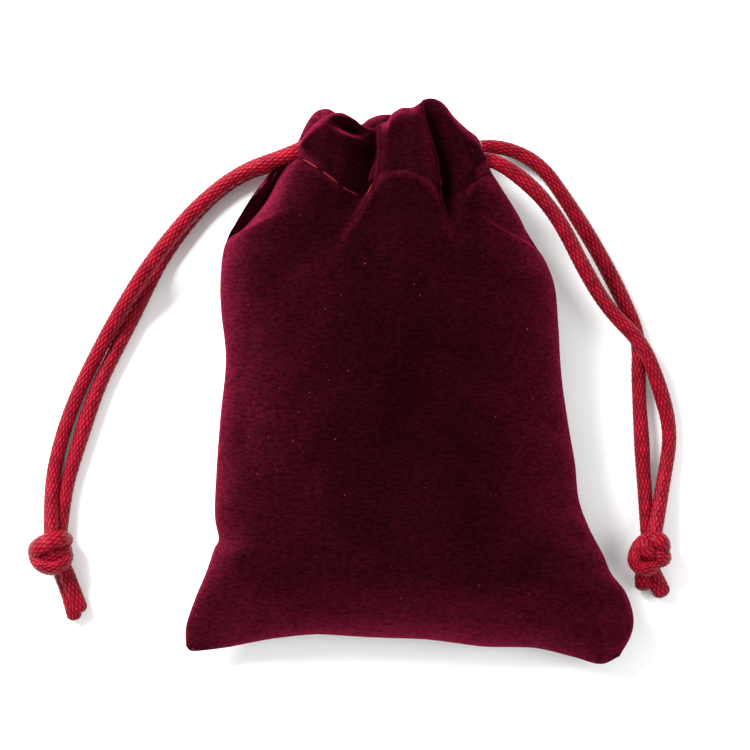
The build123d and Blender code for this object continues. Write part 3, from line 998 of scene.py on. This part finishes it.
class Look:
    """A material, with short ways to add nodes to it."""

    def __init__(self, name):
        self.material = bpy.data.materials.new(name)
        self.material.use_nodes = True
        self.tree = self.material.node_tree
        self.shader = self.tree.nodes["Principled BSDF"]
        self.place = self.node("TexCoord").outputs["Object"]

    def node(self, kind, **sockets):
        """A new node whose sockets are set to numbers or linked to other nodes."""
        made = self.tree.nodes.new("ShaderNode" + kind)
        for name, value in sockets.items():
            self.feed(made.inputs[name], value)
        return made

    def feed(self, socket, value):
        if isinstance(value, bpy.types.NodeSocket):
            self.tree.links.new(value, socket)
        else:
            socket.default_value = value

    def noise(self, scale, detail, roughness, stretch=(1, 1, 1)):
        squeezed = self.node("Mapping", Vector=self.place, Scale=stretch).outputs["Vector"]
        made = self.node("TexNoise", Vector=squeezed, Scale=scale, Detail=detail, Roughness=roughness)
        return made.outputs["Fac"]

    def attribute(self, name):
        made = self.node("Attribute")
        made.attribute_name = name
        return made.outputs["Fac"]

    def ramp(self, factor, stops):
        made = self.node("ValToRGB", Fac=factor)
        elements = made.color_ramp.elements
        for element, (position, colour) in zip([elements[0], elements[1]], (stops[0], stops[-1])):
            element.position = position
            element.color = (*colour, 1)
        for position, colour in stops[1:-1]:
            elements.new(position).color = (*colour, 1)
        return made.outputs["Color"]

    def maths(self, operation, first, second):
        made = self.node("Math")
        made.operation = operation
        self.feed(made.inputs[0], first)
        self.feed(made.inputs[1], second)
        return made.outputs[0]

    def mix(self, blend, first, second):
        """Two colours mixed in full. A Mix node's inputs 6 and 7 and output 2 are its colours."""
        made = self.node("Mix")
        made.data_type = "RGBA"
        made.blend_type = blend
        for index, value in ((0, 1.0), (6, first), (7, second)):
            self.feed(made.inputs[index], value)
        return made.outputs[2]

    def finish(self, colour, settings, height=None, strength=0.0, depth=0.0):
        """The material, with its colour, its shader's settings and a bump whose depth is in metres."""
        self.feed(self.shader.inputs["Base Color"], colour)
        for name, value in settings.items():
            self.shader.inputs[name].default_value = value
        if height is not None:
            bump = self.node("Bump", Height=height, Strength=strength, Distance=depth)
            self.feed(self.shader.inputs["Normal"], bump.outputs["Normal"])
        return self.material


def velvet_material():
    """Dark pile with a painted sheen that is lighter at a slant, and painted shade that dims it in the
    valleys and the hollow.
    """
    look = Look("wine_velvet")
    tone = look.ramp(look.noise(90, 3, 0.55), VELVET_TONES)
    pile = look.noise(4200, 2, 0.6)
    ribs = look.noise(1250, 2, 0.55, (0.9, 1.9, 0.9))
    weave = look.maths("ADD", ribs, look.maths("MULTIPLY", pile, 0.7))
    # painted sheen: the colour is lighter where the surface is seen at a slant, added to the base colour
    slant = look.node("LayerWeight", Blend=0.5).outputs["Facing"]
    painted_sheen = look.ramp(slant, VELVET_PAINTED_SHEEN)
    # painted shade in the valleys and the hollow dims the painted sheen
    painted_sheen = look.mix("MULTIPLY", painted_sheen, look.ramp(look.attribute("painted_crease_shade"), CREASE_SHADE_DIMMING))
    cloth = look.mix("MULTIPLY", look.mix("ADD", tone, painted_sheen), look.ramp(weave, VELVET_GRAIN))
    lint = look.ramp(look.noise(1900, 1, 0.5), LINT)
    settings = {
        "Roughness": 1.0,
        "Specular IOR Level": 0.0,
        "Sheen Weight": 0.35,
        "Sheen Roughness": 0.30,
        "Sheen Tint": (0.75, 0.038, 0.125, 1),
    }
    return look.finish(look.mix("ADD", cloth, lint), settings, weave, 0.6, 0.00022)


def satin_material():
    """Red satin, with painted shade in the grooves of the braid and painted highlights on the tops of its
    strands.
    """
    look = Look("red_satin_cord")
    # painted shade and highlights from the braid's relief
    tone = look.ramp(look.attribute("relief"), SATIN_PAINTED_SHADE_AND_HIGHLIGHTS)
    shade = look.ramp(look.noise(700, 2, 0.6), SATIN_SHADE)
    settings = {"Roughness": 0.38, "Specular IOR Level": 0.16, "Specular Tint": (1.0, 0.22, 0.32, 1)}
    fibres = look.noise(3800, 1, 0.5)
    return look.finish(look.mix("MULTIPLY", tone, shade), settings, fibres, 0.35, 0.00012)


def thread_material():
    look = Look("red_thread")
    colour = look.ramp(look.noise(3000, 2, 0.6), THREAD_TONES)
    return look.finish(colour, {"Roughness": 0.6, "Specular IOR Level": 0.2})


def floor_material():
    look = Look("pale_floor")
    return look.finish(look.ramp(look.noise(60, 2, 0.5), FLOOR_TONES), {"Roughness": 0.9})


# ---- scene


VIEW_WIDTH = 116.4  # width of what the camera sees at the seam's height
VIEW_CENTRE = (-5.04, 1.16)
FLOOR_HALF = 1500


def make_camera():
    """Straight above the pouch with a long lens."""
    camera = bpy.data.cameras.new("camera")
    camera.lens = 135
    camera.sensor_width = 36
    distance = VIEW_WIDTH * camera.lens / camera.sensor_width
    thing = bpy.data.objects.new("camera", camera)
    thing.location = (VIEW_CENTRE[0] * MM, VIEW_CENTRE[1] * MM, (SEAM_Z + distance) * MM)
    bpy.context.scene.collection.objects.link(thing)
    bpy.context.scene.camera = thing


def area_light(name, place, size, power):
    """A square soft light that looks at the middle of the pouch."""
    light = bpy.data.lights.new(name, "AREA")
    light.shape = "RECTANGLE"
    light.size = size
    light.size_y = size
    light.energy = power
    thing = bpy.data.objects.new(name, light)
    thing.location = place
    thing.rotation_euler = (Vector((0, 0, 0)) - Vector(place)).to_track_quat("-Z", "Y").to_euler()
    bpy.context.scene.collection.objects.link(thing)


def make_light():
    world = bpy.data.worlds.new("studio")
    world.use_nodes = True
    world.node_tree.nodes["Background"].inputs["Color"].default_value = (1, 1, 1, 1)
    world.node_tree.nodes["Background"].inputs["Strength"].default_value = 0.8
    bpy.context.scene.world = world
    area_light("key", (-0.34, 0.30, 0.32), 0.24, 8.5)
    area_light("fill", (0.36, -0.06, 0.34), 0.3, 1.1)


def make_floor():
    corners = [(-1, -1, 0), (1, -1, 0), (1, 1, 0), (-1, 1, 0)]
    floor = mesh_object("floor", np.array(corners, float) * FLOOR_HALF, [(0, 1, 2, 3)])
    floor.data.materials.append(floor_material())


def fitted(thing, material, slot, node, body, ramp=None):
    """Gives a piece its material, hangs it on the empty of the body it moves with, and hides the CAD node it
    stands for; slot is not used.

    With a ramp, its place is baked into its mesh and it hangs on no empty; only whether there is a ramp
    counts, and body is then not used.
    """
    thing.data.materials.append(material)
    if ramp is None:
        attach(thing, body)
    else:
        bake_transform(thing)
    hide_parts(node)
    return thing


def make_strand(side, layer, material):
    """A free strand, from the hem's end to the knot. Its thickness varies a little along it."""
    node = f"{side}_cord_{layer}_strand"
    line = nurbs_points(node, ROUTES[node])
    uneven = ripple(np.linspace(0, 60, 40), np.zeros(40), 11.0, len(node) + len(side))
    radii = CORD_R * (0.97 + 0.045 * uneven)
    strand = cord_mesh("satin_" + node, [tube_shape(line, radii, turn=0.5 * len(side))])
    fitted(strand, material, "satin_cord", node, side + "_drawstring")


def make_drawstring(side, material):
    """A cord: knot, cut ends and strands go with the drawstring, and its hidden run, in a near and a far
    piece, is baked in place.
    """
    body = side + "_drawstring"
    far = FAR_SIDE[side]
    run_node = side + "_cord_channel_run"
    knot = fitted(knot_mesh(side), material, "satin_cord", side + "_knot", body)
    ends = fitted(cut_ends_mesh(side), material, "satin_cord", side + "_cord_cut_ends", body)
    runs = run_meshes(side)
    near_ramp = [(HAND[side] * x * MM, 0.0, 0.0) for x in RUN_STRETCHES[side]]
    fitted(runs["near"], material, "satin_cord", run_node, body, near_ramp)
    fitted(runs["far"], material, "satin_cord", run_node, far + "_mouth_side", blend_line(far))
    make_strand(side, "front", material)
    make_strand(side, "back", material)


def make_velvet(side, material):
    """A panel and the gathers at its two ends of the mouth."""
    panel_name = f"{side}_velvet"
    for name, piece in panel_pieces(side).items():
        if name == panel_name:
            fitted(piece, material, "velvet", side + "_panel", "pouch")
        else:
            word = "left" if "left" in name else "right"
            node = f"{side}_hem_{word}_end"
            fitted(piece, material, "velvet", node, word + "_mouth_side", blend_line(word))


def thread_row(name, lines, material, node, word=""):
    """Stitches as one piece, which goes with the pouch, or is baked in place if word names a side of the
    mouth.
    """
    row = mesh_object(name, *joined([thread_tube(line) for line in lines]))
    where = (word + "_mouth_side", blend_line(word)) if word else ("pouch",)
    fitted(row, material, "sewing_thread", node, *where)


def make_hem_thread(side, material):
    for word, lines in hem_stitches(side).items():
        place = f"{side}_{word}" if word else side
        node = f"{side}_hem_{word}_stitches" if word else f"{side}_hem_stitches"
        if lines:
            thread_row(place + "_stitch_row", lines, material, node, word)


def make_seam_thread(word, edge, inset, material):
    """A seam's stitches. Those at the shoulder, in a gather, are a piece of their own."""
    still, moving = [], []
    for stitch in seam_stitches(edge, inset):
        moves = word in GATHERS and gather_reach(*stitch[1][:2], word) > GATHERS[word][1]
        (moving if moves else still).append(stitch)
    node = word + "_seam_thread"
    thread_row(word + "_seam_stitches", still, material, node)
    if moving:
        thread_row(word + "_shoulder_stitches", moving, material, node, word)


bpy.context.scene.view_settings.view_transform = "Standard"
make_camera()
make_light()
make_floor()
velvet = velvet_material()
satin = satin_material()
thread = thread_material()
PANELS = {side: panel(side) for side in ("front", "back")}

for side in HAND:
    make_drawstring(side, satin)
for side in PANELS:
    make_velvet(side, velvet)
for side in PANELS:
    make_hem_thread(side, thread)
make_seam_thread("left", LEFT_BODY, -SEAM_INSET, thread)
make_seam_thread("right", RIGHT_BODY, SEAM_INSET, thread)
make_seam_thread("bottom", BOTTOM, SEAM_INSET, thread)
